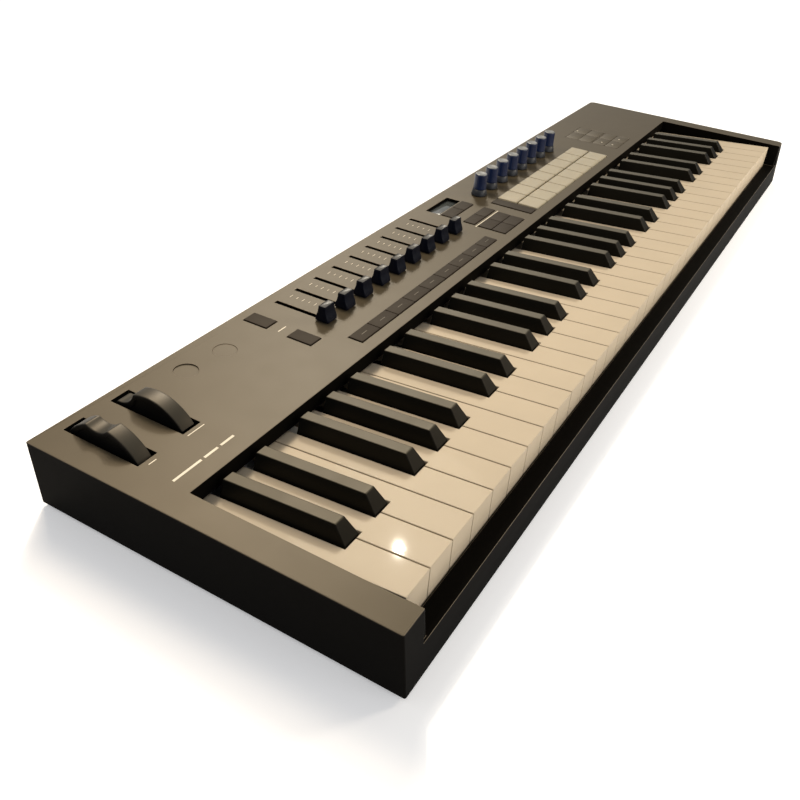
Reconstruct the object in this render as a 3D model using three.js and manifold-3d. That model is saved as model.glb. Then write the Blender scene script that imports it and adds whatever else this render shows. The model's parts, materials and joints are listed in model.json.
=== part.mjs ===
// A 61-key synthesizer controller: flat plastic case, keybed, faders, knobs, pads, wheels and buttons.
// Millimetres. +X runs from the low keys to the high keys, +Y from the player to the rear panel,
// +Z is up. The origin is on the resting surface, below the middle of the case.

import * as THREE from 'three';
import { mergeVertices } from 'three/addons/utils/BufferGeometryUtils.js';
import Module from 'manifold-3d';

const wasm = await Module();
wasm.setup();

// ---- driving dimensions --------------------------------------------------------------------

const CASE = { halfX: 445, halfY: 120.5, bottom: 3, top: 47.5, wall: 2.5, corner: 1.2, farCorner: 6 };
const DRAFT = { sides: 2.2, front: 3.0 };          // cheeks lean in and the front leans out, downward
const GAP = 0.3;                                   // between parts that rest on each other
const WELL = { halfX: 426, rear: 19.5, ledge: 24.7, ledgeRear: -110.2, fasciaBottom: 36.5 };
const LEDGE_END = { footX: 421.1, headX: 425.7 };  // the cheeks' inner faces lean out above the ledge

const KEY = { pitch: 23.5, count: 36, gap: 0.4, front: -109, frontTop: 44.5, slope: 0.075, bottom: 20 };
const OCTAVE = { width: 7 * KEY.pitch, count: 5 };
const HEAD_REAR = -66.2;                            // where the wide head of a natural key ends
const SHARP = { centres: [21.15, 49.35, 90.64, 117.5, 144.36], base: 12.6, top: 8.2, height: 10 };
const SHARP_Y = { baseFront: -65.2, topFront: -57.6, topRear: 14.6 };
const TAIL = { clearance: 1.3, thickness: 7, rear: 36 };
const SPINE = { front: 44, rear: 50, height: 2.2, naturals: [30.6, 27], sharps: 23.4 };
const PLUNGER = { front: -15, rear: -11, halfX: 2, bottom: 22.3 };
const CHASSIS = { bottom: 6, top: 8, front: -100, rear: 56, halfX: 424 };
const GUIDE = { halfX: 3.5, front: -95, rear: -89, top: 29 };
const CONTACTS = { front: -28, rear: 2, bottom: 12, top: 13.6, halfX: 420 };
const STRIP = { front: -22, rear: -4, base: 1.2, ridgeFront: -16.5, ridgeRear: -9.5, ridgeTop: 17.4 };

const CONTROL_PITCH = 24.1;
const FADER = { firstX: -234, count: 9, slotFront: 62.5, slotRear: 111, slotWidth: 3.6, restY: 67 };
const CAP = { base: 12, top: 11.4, depth: 11.5, topDepth: 5.4, height: 12, lift: 0.6 };
const TRACK = { halfX: 4, front: 58, rear: 115, top: 44.4, slotHalfX: 1.2, channelHalfX: 3 };
const SLIDER = { bottom: 40.4, top: 42.6, halfX: 2.5, halfY: 2.5, play: 0.5 };
const KNOB = { firstX: 52, pitch: 23.9, count: 8, y: 89, radius: 6, height: 21, hole: 4, shaft: 3 };
const SKIRT = { lift: 0.6, radius: 7.4, straight: 2.4, height: 5 };
const ENCODER = { half: 5.5, top: 43.8, holeBottom: 40 };
const WHEEL = { radius: 32, axisY: 84.6, axisZ: 27.5, width: 10.5, hub: 8, axle: 3 };
const WHEEL_SLOT = { width: 14.5, length: 56.5 };
const NOTCH = { radius: 11.5, beyondRim: 7.5 };
const PITCH_WHEEL = { x: -418.3, turn: 0, notchTurn: -6 };
const MOD_WHEEL = { x: -383.3, turn: -35, notchTurn: 0 };
const BRACKET = { x: [-433, -366], uprights: [-433, -402, -368.5], thickness: 2.5, halfY: 7, baseHalfY: 12 };
const DIMPLES = [{ x: -340, y: 100, depth: 0.8 }, { x: -307, y: 96.5, depth: 0.4 }];
const DIMPLE_RADIUS = 8;

const BOARD = { x0: -275, x1: 335, y0: 24.5, y1: 115.5, bottom: 37, top: 38.6 };
const BUTTON = { clearance: 0.4, proud: 0.8, bottom: 40.5, flange: 0.8, flangeTop: 44, groove: 0.8 };
const PADS = { x0: 54, x1: 247, front: 29.5, middle: 50.3, rear: 70.5, count: 8, proud: 1.5, seam: 0.7 };
const SCREEN = { x0: -15.3, x1: 25.5, y0: 95.4, y1: 109.3, glassTop: 43.5 };
const SOCKETS = { x0: -320, seam: -279, x1: -238, top: 42, z: 26, inset: 0.3 };
const USB = { x: -300, width: 12, height: 11, depth: 16, wall: 1.2 };
const TONGUE = { halfX: 2.8, bottom: 1.2, top: 3.8, setBack: 4 };
const JACK = { x: -258, radius: 3.3, bush: 5, depth: 24, housing: 8 };
const BOSS = { radius: 4, y: 112, x: [-340, -20, 345] };
const FOOT = { radius: 9, x: 400, y: 98 };

// name, x0, x1, y0, y1, and the x and y of the grooves that part one cap from the next
const BUTTONS = [
  { name: 'button_left_rear', x: [-269, -257], y: [92.4, 112], splitX: [], splitY: [] },
  { name: 'button_left_front', x: [-269.3, -257.3], y: [55, 74.4], splitX: [], splitY: [] },
  { name: 'track_button_strip', x: [-245, -33], y: [29.7, 41], splitX: trackSplits(), splitY: [] },
  { name: 'display_buttons', x: [-15.5, 25.7], y: [81.7, 93.6], splitX: [6.4], splitY: [] },
  { name: 'page_buttons', x: [-16, 26], y: [59.6, 70.7], splitX: [5], splitY: [] },
  { name: 'mode_buttons', x: [-16.8, 24.2], y: [29.5, 56], splitX: [3.7], splitY: [42.7] },
  { name: 'scene_button', x: [40.5, 52.5], y: [30, 70.5], splitX: [], splitY: [50.3] },
  { name: 'transport_buttons_rear', x: [280, 328], y: [61, 91], splitX: [304], splitY: [76] },
  { name: 'transport_buttons_front', x: [281, 327], y: [30, 59], splitX: [304], splitY: [44.5] },
];

function trackSplits() {
  const firstSplit = FADER.firstX + CONTROL_PITCH / 2;
  return Array.from({ length: FADER.count - 1 }, (_, i) => firstSplit + CONTROL_PITCH * i);
}

// ---- materials -----------------------------------------------------------------------------

function finish(color, roughness, metalness = 0) {
  return new THREE.MeshStandardMaterial({ color, roughness, metalness });
}

const material = {
  case: finish(0x24221f, 0.45),
  natural: finish(0xe6dcc6, 0.25),
  sharp: finish(0x1b1a1a, 0.4),
  cap: finish(0x15161c, 0.35),
  knob: finish(0x17181f, 0.4),
  wheel: finish(0x121212, 0.5),
  button: finish(0x38322b, 0.5),
  pad: finish(0xcfc6a8, 0.6),
  glass: finish(0x3d4850, 0.1),
  steel: finish(0x8d9094, 0.35, 0.9),
  board: finish(0x1e4a34, 0.6),
  rubber: finish(0x101010, 0.8),
  inner: finish(0x2c2c2c, 0.6),
};

// ---- solids --------------------------------------------------------------------------------

function solid(geometry) {
  const bare = geometry.clone();
  bare.deleteAttribute('normal');
  bare.deleteAttribute('uv');
  const merged = mergeVertices(bare, 1e-4);
  const vertProperties = new Float32Array(merged.attributes.position.array);
  const triVerts = new Uint32Array(merged.index.array);
  return new wasm.Manifold(new wasm.Mesh({ numProp: 3, vertProperties, triVerts }));
}

// A box whose floor and roof may be heights or functions of y, and whose roof may be narrower.
function slab([x0, x1], [y0, y1], [floor, roof], taper = 0) {
  const geometry = new THREE.BoxGeometry(x1 - x0, y1 - y0, 1);
  geometry.translate((x0 + x1) / 2, (y0 + y1) / 2, 0);
  const position = geometry.attributes.position;
  const middle = (x0 + x1) / 2;
  for (let i = 0; i < position.count; i += 1) {
    const isRoof = position.getZ(i) > 0;
    const height = isRoof ? roof : floor;
    const inward = isRoof ? taper * Math.sign(middle - position.getX(i)) : 0;
    position.setX(i, position.getX(i) + inward);
    position.setZ(i, typeof height === 'function' ? height(position.getY(i)) : height);
  }
  return solid(geometry);
}

// A block with a rectangle below and another above: [x0, x1, y0, y1, z] each.
function loft(lower, upper) {
  const geometry = new THREE.BoxGeometry(1, 1, 1);
  const position = geometry.attributes.position;
  for (let i = 0; i < position.count; i += 1) {
    const end = position.getZ(i) > 0 ? upper : lower;
    const y = position.getY(i) > 0 ? end[3] : end[2];
    const z = typeof end[4] === 'function' ? end[4](y) : end[4];
    position.setXYZ(i, position.getX(i) > 0 ? end[1] : end[0], y, z);
  }
  return solid(geometry);
}

function rod(radius, x, y, [z0, z1], sides = 16) {
  const geometry = new THREE.CylinderGeometry(radius, radius, z1 - z0, sides);
  geometry.rotateX(Math.PI / 2);
  geometry.translate(x, y, (z0 + z1) / 2);
  return solid(geometry);
}

function crossRod(radius, [x0, x1], y, z, sides = 16) {
  const geometry = new THREE.CylinderGeometry(radius, radius, x1 - x0, sides);
  geometry.rotateZ(Math.PI / 2);
  geometry.translate((x0 + x1) / 2, y, z);
  return solid(geometry);
}

function rearRod(radius, x, [y0, y1], z, sides = 16) {
  const geometry = new THREE.CylinderGeometry(radius, radius, y1 - y0, sides);
  geometry.translate(x, (y0 + y1) / 2, z);
  return solid(geometry);
}

// An upright plate with round vertical corners, centred on the origin; those at the high keys may be rounder.
function roundedPlate(halfX, halfY, radius, [z0, z1], farRadius = radius) {
  const shape = new THREE.Shape();
  shape.absarc(halfX - farRadius, halfY - farRadius, farRadius, 0, Math.PI / 2);
  shape.absarc(radius - halfX, halfY - radius, radius, Math.PI / 2, Math.PI);
  shape.absarc(radius - halfX, radius - halfY, radius, Math.PI, 1.5 * Math.PI);
  shape.absarc(halfX - farRadius, farRadius - halfY, farRadius, 1.5 * Math.PI, 2 * Math.PI);
  const options = { depth: z1 - z0, bevelEnabled: false, curveSegments: 4 };
  const geometry = new THREE.ExtrudeGeometry(shape, options);
  geometry.translate(0, 0, z0);
  return solid(geometry);
}

function join(solids) {
  return solids.reduce((whole, piece) => whole.add(piece));
}

function cut(whole, solids) {
  return solids.reduce((rest, piece) => rest.subtract(piece), whole);
}

const synthesizer = new THREE.Group();

function place(name, shape, look) {
  const { vertProperties, triVerts } = shape.getMesh();
  const geometry = new THREE.BufferGeometry();
  geometry.setAttribute('position', new THREE.BufferAttribute(new Float32Array(vertProperties), 3));
  geometry.setIndex(new THREE.BufferAttribute(new Uint32Array(triVerts), 1));
  geometry.computeVertexNormals();
  const mesh = new THREE.Mesh(geometry, look);
  mesh.name = name;
  synthesizer.add(mesh);
  return mesh;
}

// ---- case ----------------------------------------------------------------------------------

const inside = {
  x: CASE.halfX - DRAFT.sides - CASE.wall,
  y: CASE.halfY - CASE.wall,
  top: CASE.top - CASE.wall,
};

// The block the case is cut from: its cheeks lean inward and its front leans outward towards the bottom.
function outerBlock() {
  const { halfX, halfY, corner, farCorner } = CASE;
  return roundedPlate(halfX, halfY, corner, [CASE.bottom, CASE.top], farCorner).warp((point) => {
    const drop = (CASE.top - point[2]) / (CASE.top - CASE.bottom);
    point[0] -= Math.sign(point[0]) * DRAFT.sides * drop;
    if (point[1] < 0) {
      point[1] -= DRAFT.front * drop;
    }
  });
}

function wheelSlot(x) {
  const halfWidth = WHEEL_SLOT.width / 2;
  const halfLength = WHEEL_SLOT.length / 2;
  return slab([x - halfWidth, x + halfWidth], [WHEEL.axisY - halfLength, WHEEL.axisY + halfLength],
    [inside.top - 1, CASE.top + 1]);
}

function buttonOpening({ x, y }) {
  const c = BUTTON.clearance;
  return slab([x[0] - c, x[1] + c], [y[0] - c, y[1] + c], [inside.top - 1, CASE.top + 1]);
}

function faderX(index) {
  return FADER.firstX + CONTROL_PITCH * index;
}

function knobX(index) {
  return KNOB.firstX + KNOB.pitch * index;
}

function panelOpenings() {
  const through = [inside.top - 1, CASE.top + 1];
  const openings = BUTTONS.map(buttonOpening);
  openings.push(wheelSlot(PITCH_WHEEL.x), wheelSlot(MOD_WHEEL.x));
  for (let i = 0; i < FADER.count; i += 1) {
    const halfSlot = FADER.slotWidth / 2;
    openings.push(slab([faderX(i) - halfSlot, faderX(i) + halfSlot],
      [FADER.slotFront, FADER.slotRear], through));
  }
  for (let i = 0; i < KNOB.count; i += 1) {
    openings.push(rod(KNOB.hole, knobX(i), KNOB.y, through));
  }
  const c = BUTTON.clearance;
  openings.push(slab([PADS.x0 - c - 1, PADS.x1 + c], [PADS.front - c, PADS.rear + c], through));
  openings.push(slab([SCREEN.x0, SCREEN.x1], [SCREEN.y0, SCREEN.y1], through));
  return openings;
}

// The rear wall is notched from below, and the sockets' face plates close the notch.
function socketNotch() {
  return slab([SOCKETS.x0 - GAP, SOCKETS.x1 + GAP], [inside.y - 0.5, CASE.halfY + 1],
    [CASE.bottom - 1, SOCKETS.top + GAP]);
}

function dimple({ x, y, depth }) {
  return rod(DIMPLE_RADIUS, x, y, [CASE.top - depth, CASE.top + 1], 24);
}

// A small wedge at each end of the ledge, between the cheek and the keys' front.
function ledgeEnd(side) {
  const outer = side * (WELL.halfX + 1);
  const foot = [outer, side * LEDGE_END.footX].sort((a, b) => a - b);
  const head = [outer, side * LEDGE_END.headX].sort((a, b) => a - b);
  return loft([...foot, -CASE.halfY, WELL.ledgeRear, WELL.ledge - 1],
    [...head, -CASE.halfY, WELL.ledgeRear, CASE.top]);
}

function topCase() {
  const { wall } = CASE;
  const cavity = roundedPlate(inside.x, inside.y, 1, [CASE.bottom - 1, inside.top]);
  const shell = outerBlock().subtract(cavity);
  const wellFront = -inside.y - 1;
  const liningBottom = CASE.bottom + wall + GAP;
  const outer = WELL.halfX + wall;
  const linings = [
    slab([-outer, -WELL.halfX], [wellFront, WELL.rear + wall], [liningBottom, inside.top + 1]),
    slab([WELL.halfX, outer], [wellFront, WELL.rear + wall], [liningBottom, inside.top + 1]),
    slab([-outer, outer], [WELL.rear, WELL.rear + wall], [WELL.fasciaBottom, inside.top + 1]),
    slab([-outer, outer], [wellFront, WELL.ledgeRear], [WELL.ledge - wall, WELL.ledge]),
    slab([-outer, outer], [WELL.ledgeRear - wall, WELL.ledgeRear], [liningBottom + 6, WELL.ledge]),
  ];
  const wellX = [-WELL.halfX, WELL.halfX];
  const wells = [
    slab(wellX, [WELL.ledgeRear, WELL.rear], [CASE.bottom - 1, CASE.top + 1]),
    slab(wellX, [-CASE.halfY - DRAFT.front - 1, WELL.ledgeRear + 1], [WELL.ledge, CASE.top + 1]),
  ];
  const openings = [...wells, ...panelOpenings(), ...DIMPLES.map(dimple), socketNotch()];
  return join([cut(join([shell, ...linings]), openings), ledgeEnd(-1), ledgeEnd(1)]);
}

function bottomPlate() {
  const plate = roundedPlate(inside.x - GAP, inside.y - GAP, 1, [CASE.bottom, CASE.bottom + CASE.wall]);
  const bosses = BOSS.x.map((x) => rod(BOSS.radius, x, BOSS.y, [CASE.bottom + 1, BOARD.bottom - GAP], 12));
  return join([plate, ...bosses]);
}

place('top_case', topCase(), material.case);
place('bottom_plate', bottomPlate(), material.case);

for (const [side, x] of [['left', -FOOT.x], ['right', FOOT.x]]) {
  for (const [end, y] of [['front', -FOOT.y], ['rear', FOOT.y]]) {
    place(`rubber_foot_${end}_${side}`, rod(FOOT.radius, x, y, [0, CASE.bottom - GAP], 20), material.rubber);
  }
}

// ---- keys ----------------------------------------------------------------------------------

function keyTop(y) {
  return KEY.frontTop - KEY.slope * (y - KEY.front);
}

const firstKeyX = -KEY.pitch * KEY.count / 2;

// A thin leaf joins a key's tail to the spine of its comb.
function leaf([x0, x1], level) {
  return slab([x0, x1], [TAIL.rear - 1, SPINE.rear], [level, level + SPINE.height]);
}

function plunger(x, level) {
  const { front, rear, halfX, bottom } = PLUNGER;
  return slab([x - halfX, x + halfX], [front, rear], [bottom, (y) => keyTop(y) - level]);
}

// A natural key: a hollow head of full width and a slim tail that passes beside the sharps.
function naturalKey(octaveX, index, level) {
  const left = octaveX + KEY.pitch * index + KEY.gap;
  const right = octaveX + KEY.pitch * (index + 1) - KEY.gap;
  const reach = SHARP.base / 2 + TAIL.clearance;
  const hasOctave = octaveX < -firstKeyX - KEY.pitch;
  const beside = hasOctave ? SHARP.centres.map((centre) => octaveX + centre) : [];
  const tailLeft = Math.max(left, ...beside.filter((x) => x < (left + right) / 2).map((x) => x + reach));
  const tailRight = Math.min(right, ...beside.filter((x) => x > (left + right) / 2).map((x) => x - reach));
  const skin = 2;
  const head = slab([left, right], [KEY.front, HEAD_REAR], [KEY.bottom, keyTop]);
  const hollow = slab([left + skin, right - skin], [KEY.front + skin, HEAD_REAR - skin],
    [KEY.bottom - 1, (y) => keyTop(y) - 2.5]);
  const tail = slab([tailLeft, tailRight], [HEAD_REAR - skin / 2, TAIL.rear],
    [(y) => keyTop(y) - TAIL.thickness, keyTop]);
  return join([
    head.subtract(hollow),
    tail,
    plunger((tailLeft + tailRight) / 2, TAIL.thickness - 1),
    leaf([tailLeft, tailRight], level),
  ]);
}

function sharpKey(centre, level) {
  const base = [centre - SHARP.base / 2, centre + SHARP.base / 2];
  const top = [centre - SHARP.top / 2, centre + SHARP.top / 2];
  const crown = loft([...base, SHARP_Y.baseFront, SHARP_Y.topRear + 0.6, (y) => keyTop(y) - 0.5],
    [...top, SHARP_Y.topFront, SHARP_Y.topRear, (y) => keyTop(y) + SHARP.height]);
  const body = slab(base, [SHARP_Y.baseFront, TAIL.rear],
    [(y) => keyTop(y) - TAIL.thickness - 3, (y) => keyTop(y) - 0.4]);
  return join([crown, body, plunger(centre, TAIL.thickness + 2), leaf(base, level)]);
}

function spine([x0, x1], level) {
  return slab([x0, x1], [SPINE.front, SPINE.rear], [level, level + SPINE.height]);
}

// Keys of one comb are moulded on a common spine, and the spines of an octave lie over each other.
function comb(keys) {
  const whole = join(keys);
  const { min, max } = whole.boundingBox();
  return { whole, reach: [min[0], max[0]] };
}

function placeComb(name, keys, level, inset, look) {
  const { whole, reach } = comb(keys);
  place(name, whole.add(spine([reach[0] + inset, reach[1] - inset], level)), look);
}

for (let octave = 0; octave < OCTAVE.count; octave += 1) {
  const octaveX = firstKeyX + OCTAVE.width * octave;
  const outer = [0, 2, 4, 6].map((index) => naturalKey(octaveX, index, SPINE.naturals[0]));
  const inner = [1, 3, 5].map((index) => naturalKey(octaveX, index, SPINE.naturals[1]));
  const sharps = SHARP.centres.map((centre) => sharpKey(octaveX + centre, SPINE.sharps));
  placeComb(`naturals_cegb_${octave + 1}`, outer, SPINE.naturals[0], 0, material.natural);
  placeComb(`naturals_dfa_${octave + 1}`, inner, SPINE.naturals[1], 2, material.natural);
  placeComb(`sharps_${octave + 1}`, sharps, SPINE.sharps, 0, material.sharp);
}
const highC = naturalKey(firstKeyX + OCTAVE.width * OCTAVE.count, 0, SPINE.naturals[0]);
place('natural_c_high', highC, material.natural);

// ---- keybed --------------------------------------------------------------------------------

function keybedChassis() {
  const across = [-CHASSIS.halfX, CHASSIS.halfX];
  const plate = slab(across, [CHASSIS.front, CHASSIS.rear], [CHASSIS.bottom, CHASSIS.top]);
  const hingeRib = slab(across, [SPINE.front - 1, SPINE.rear + 1], [CHASSIS.bottom, SPINE.sharps - 0.8]);
  const shelfHeight = [CHASSIS.bottom, CONTACTS.bottom - GAP];
  const frontShelf = slab(across, [CONTACTS.front, CONTACTS.front + 3], shelfHeight);
  const rearShelf = slab(across, [CONTACTS.rear - 3, CONTACTS.rear], shelfHeight);
  const posts = [];
  for (let index = 0; index < KEY.count; index += 1) {
    const middle = firstKeyX + KEY.pitch * (index + 0.5);
    posts.push(slab([middle - GUIDE.halfX, middle + GUIDE.halfX], [GUIDE.front, GUIDE.rear],
      [CHASSIS.bottom, GUIDE.top]));
  }
  return join([plate, hingeRib, frontShelf, rearShelf, ...posts]);
}

function contactRubber() {
  const across = [-CONTACTS.halfX, CONTACTS.halfX];
  const bottom = CONTACTS.top + GAP;
  const base = slab(across, [STRIP.front, STRIP.rear], [bottom, bottom + STRIP.base]);
  const ridge = slab(across, [STRIP.ridgeFront, STRIP.ridgeRear], [bottom, STRIP.ridgeTop]);
  return base.add(ridge);
}

place('keybed_chassis', keybedChassis(), material.steel);
place('key_contact_board', slab([-CONTACTS.halfX, CONTACTS.halfX], [CONTACTS.front, CONTACTS.rear],
  [CONTACTS.bottom, CONTACTS.top]), material.board);
place('key_contact_rubber', contactRubber(), material.rubber);

// ---- controls board with its faders' tracks and encoders -------------------------------------

function faderTrack(x) {
  const housing = slab([x - TRACK.halfX, x + TRACK.halfX], [TRACK.front, TRACK.rear],
    [BOARD.bottom, TRACK.top]);
  const channel = slab([x - TRACK.channelHalfX, x + TRACK.channelHalfX], [TRACK.front + 2, TRACK.rear - 2],
    [SLIDER.bottom - SLIDER.play, SLIDER.top + SLIDER.play]);
  const slit = slab([x - TRACK.slotHalfX, x + TRACK.slotHalfX], [TRACK.front + 2, TRACK.rear - 2],
    [SLIDER.top, TRACK.top + 1]);
  return { housing, hollows: [channel, slit] };
}

function controlBoard() {
  const board = slab([BOARD.x0, BOARD.x1], [BOARD.y0, BOARD.y1], [BOARD.bottom, BOARD.top]);
  const raised = [];
  const hollows = [];
  for (let i = 0; i < FADER.count; i += 1) {
    const track = faderTrack(faderX(i));
    raised.push(track.housing);
    hollows.push(...track.hollows);
  }
  for (let i = 0; i < KNOB.count; i += 1) {
    const x = knobX(i);
    raised.push(slab([x - ENCODER.half, x + ENCODER.half], [KNOB.y - ENCODER.half, KNOB.y + ENCODER.half],
      [BOARD.bottom, ENCODER.top]));
    hollows.push(rod(KNOB.shaft + GAP, x, KNOB.y, [ENCODER.holeBottom, ENCODER.top + 1]));
  }
  return cut(join([board, ...raised]), hollows);
}

place('control_board', controlBoard(), material.board);

// ---- faders --------------------------------------------------------------------------------

function faderCap(x) {
  const y = FADER.restY;
  const capBottom = CASE.top + CAP.lift;
  const waist = capBottom + CAP.height * 0.3;
  const foot = slab([x - CAP.base / 2, x + CAP.base / 2], [y - CAP.depth / 2, y + CAP.depth / 2],
    [capBottom, waist]);
  const grip = loft(
    [x - CAP.base / 2, x + CAP.base / 2, y - CAP.depth / 2, y + CAP.depth / 2, waist - 0.01],
    [x - CAP.top / 2, x + CAP.top / 2, y - CAP.topDepth / 2, y + CAP.topDepth / 2, capBottom + CAP.height],
  );
  const stem = slab([x - 0.6, x + 0.6], [y - 2, y + 2], [SLIDER.bottom, capBottom + 1]);
  const slider = slab([x - SLIDER.halfX, x + SLIDER.halfX], [y - SLIDER.halfY, y + SLIDER.halfY],
    [SLIDER.bottom, SLIDER.top]);
  return join([foot, grip, stem, slider]);
}

for (let i = 0; i < FADER.count; i += 1) {
  place(`fader_cap_${i + 1}`, faderCap(faderX(i)), material.cap);
}

// ---- knobs ---------------------------------------------------------------------------------

function knobGeometry() {
  const bottom = CASE.top + SKIRT.lift;
  const top = CASE.top + KNOB.height;
  const outline = [
    [0, ENCODER.holeBottom + 0.4], [KNOB.shaft, ENCODER.holeBottom + 0.4], [KNOB.shaft, bottom],
    [SKIRT.radius, bottom], [SKIRT.radius, bottom + SKIRT.straight], [KNOB.radius, bottom + SKIRT.height],
    [KNOB.radius - 0.3, top - 0.8], [KNOB.radius - 1.1, top], [0, top],
  ];
  const geometry = new THREE.LatheGeometry(outline.map(([r, z]) => new THREE.Vector2(r, z)), 16);
  geometry.rotateX(Math.PI / 2);
  return geometry;
}

for (let i = 0; i < KNOB.count; i += 1) {
  const shape = solid(knobGeometry()).translate([knobX(i), KNOB.y, 0]);
  place(`knob_${i + 1}`, shape, material.knob);
}

// ---- pitch and modulation wheels -------------------------------------------------------------

// A half disc with a hub and a finger notch, turned about its axle; the notch has its own turn on the rim.
function thumbWheel({ x, turn, notchTurn }) {
  const span = [x - WHEEL.width / 2, x + WHEEL.width / 2];
  const disc = crossRod(WHEEL.radius, span, 0, 0, 48);
  const reach = WHEEL.radius + 1;
  const lowerHalf = slab([span[0] - 1, span[1] + 1], [-reach, reach], [-reach, -1]);
  const hub = crossRod(WHEEL.hub, span, 0, 0, 24);
  const notch = crossRod(NOTCH.radius, [span[0] - 1, span[1] + 1], 0, WHEEL.radius + NOTCH.beyondRim, 24)
    .rotate([notchTurn, 0, 0]);
  const bore = crossRod(WHEEL.axle + GAP, [span[0] - 1, span[1] + 1], 0, 0);
  const wheel = cut(disc.subtract(lowerHalf).add(hub), [notch, bore]);
  return wheel.rotate([turn, 0, 0]).translate([0, WHEEL.axisY, WHEEL.axisZ]);
}

function wheelBracket() {
  const { x, thickness, halfY, baseHalfY } = BRACKET;
  const bottom = CASE.bottom + CASE.wall + GAP;
  const base = slab(x, [WHEEL.axisY - baseHalfY, WHEEL.axisY + baseHalfY], [bottom, bottom + thickness]);
  const uprights = BRACKET.uprights.map((left) => slab([left, left + thickness],
    [WHEEL.axisY - halfY, WHEEL.axisY + halfY], [bottom + 1, WHEEL.axisZ + 2 * WHEEL.axle]));
  const axle = crossRod(WHEEL.axle, [x[0] + 1, x[1] - 1], WHEEL.axisY, WHEEL.axisZ);
  return join([base, ...uprights, axle]);
}

place('pitch_wheel', thumbWheel(PITCH_WHEEL), material.wheel);
place('mod_wheel', thumbWheel(MOD_WHEEL), material.wheel);
place('wheel_bracket', wheelBracket(), material.inner);

// ---- buttons, pads and display ---------------------------------------------------------------

// A block of button caps on a wider foot that holds it under the panel.
function buttonBlock({ x, y, splitX, splitY }) {
  const top = CASE.top + BUTTON.proud;
  const caps = slab(x, y, [BUTTON.bottom + 1, top]);
  const foot = slab(x, [y[0] - BUTTON.flange, y[1] + BUTTON.flange], [BUTTON.bottom, BUTTON.flangeTop]);
  const half = BUTTON.groove / 2;
  const depth = [CASE.top, top + 1];
  const grooves = [
    ...splitX.map((at) => slab([at - half, at + half], [y[0] - 1, y[1] + 1], depth)),
    ...splitY.map((at) => slab([x[0] - 1, x[1] + 1], [at - half, at + half], depth)),
  ];
  return cut(caps.add(foot), grooves);
}

for (const button of BUTTONS) {
  place(button.name, buttonBlock(button), material.button);
}

function padRow(y0, y1) {
  const top = CASE.top + PADS.proud;
  const row = slab([PADS.x0, PADS.x1], [y0, y1], [BUTTON.bottom, top]);
  const pitch = (PADS.x1 - PADS.x0) / PADS.count;
  const seams = Array.from({ length: PADS.count - 1 }, (_, i) => PADS.x0 + pitch * (i + 1))
    .map((x) => slab([x - PADS.seam / 2, x + PADS.seam / 2], [y0 - 1, y1 + 1], [CASE.top, top + 1]));
  return cut(row, seams);
}

place('pad_row_front', padRow(PADS.front, PADS.middle - PADS.seam), material.pad);
place('pad_row_rear', padRow(PADS.middle + PADS.seam, PADS.rear), material.pad);

function displayModule() {
  const frame = slab([SCREEN.x0 - 2, SCREEN.x1 + 2], [SCREEN.y0 - 0.65, SCREEN.y1 + 2],
    [BOARD.top + GAP, inside.top - GAP]);
  const recess = slab([SCREEN.x0, SCREEN.x1], [SCREEN.y0, SCREEN.y1], [SCREEN.glassTop, inside.top + 1]);
  return frame.subtract(recess);
}

place('display_module', displayModule(), material.glass);

// ---- rear sockets ----------------------------------------------------------------------------

// A socket's face plate lies in the notch of the rear wall.
function facePlate(x0, x1) {
  return slab([x0, x1], [inside.y, CASE.halfY - SOCKETS.inset], [CASE.bottom, SOCKETS.top]);
}

function usbSocket() {
  const shellHalfX = USB.width / 2 + USB.wall;
  const shellHalfZ = USB.height / 2 + USB.wall;
  const front = CASE.halfY - USB.depth;
  const shell = slab([USB.x - shellHalfX, USB.x + shellHalfX], [front, CASE.halfY - SOCKETS.inset],
    [SOCKETS.z - shellHalfZ, SOCKETS.z + shellHalfZ]);
  const mouth = slab([USB.x - USB.width / 2, USB.x + USB.width / 2], [front + 4, CASE.halfY + 1],
    [SOCKETS.z - USB.height / 2, SOCKETS.z + USB.height / 2]);
  const tongue = slab([USB.x - TONGUE.halfX, USB.x + TONGUE.halfX], [front + 3, CASE.halfY - TONGUE.setBack],
    [SOCKETS.z + TONGUE.bottom, SOCKETS.z + TONGUE.top]);
  return facePlate(SOCKETS.x0, SOCKETS.seam - GAP).add(shell).subtract(mouth).add(tongue);
}

function pedalJack() {
  const front = CASE.halfY - JACK.depth - 4;
  const housing = slab([JACK.x - JACK.housing, JACK.x + JACK.housing], [front, inside.y + 1],
    [SOCKETS.z - JACK.housing, SOCKETS.z + JACK.housing]);
  const bush = rearRod(JACK.bush, JACK.x, [inside.y, CASE.halfY], SOCKETS.z);
  const bore = rearRod(JACK.radius, JACK.x, [CASE.halfY - JACK.depth, CASE.halfY + 1], SOCKETS.z);
  return join([facePlate(SOCKETS.seam, SOCKETS.x1), housing, bush]).subtract(bore);
}

place('usb_socket', usbSocket(), material.inner);
place('pedal_jack', pedalJack(), material.inner);

export default synthesizer;
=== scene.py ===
"""Looks of a 61-key synthesizer controller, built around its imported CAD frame.

Helper functions take millimetres in the CAD's own frame; meshes are stored in metres.
"""

import json
import math

import bmesh
import bpy
from mathutils import Matrix, Vector


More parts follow.
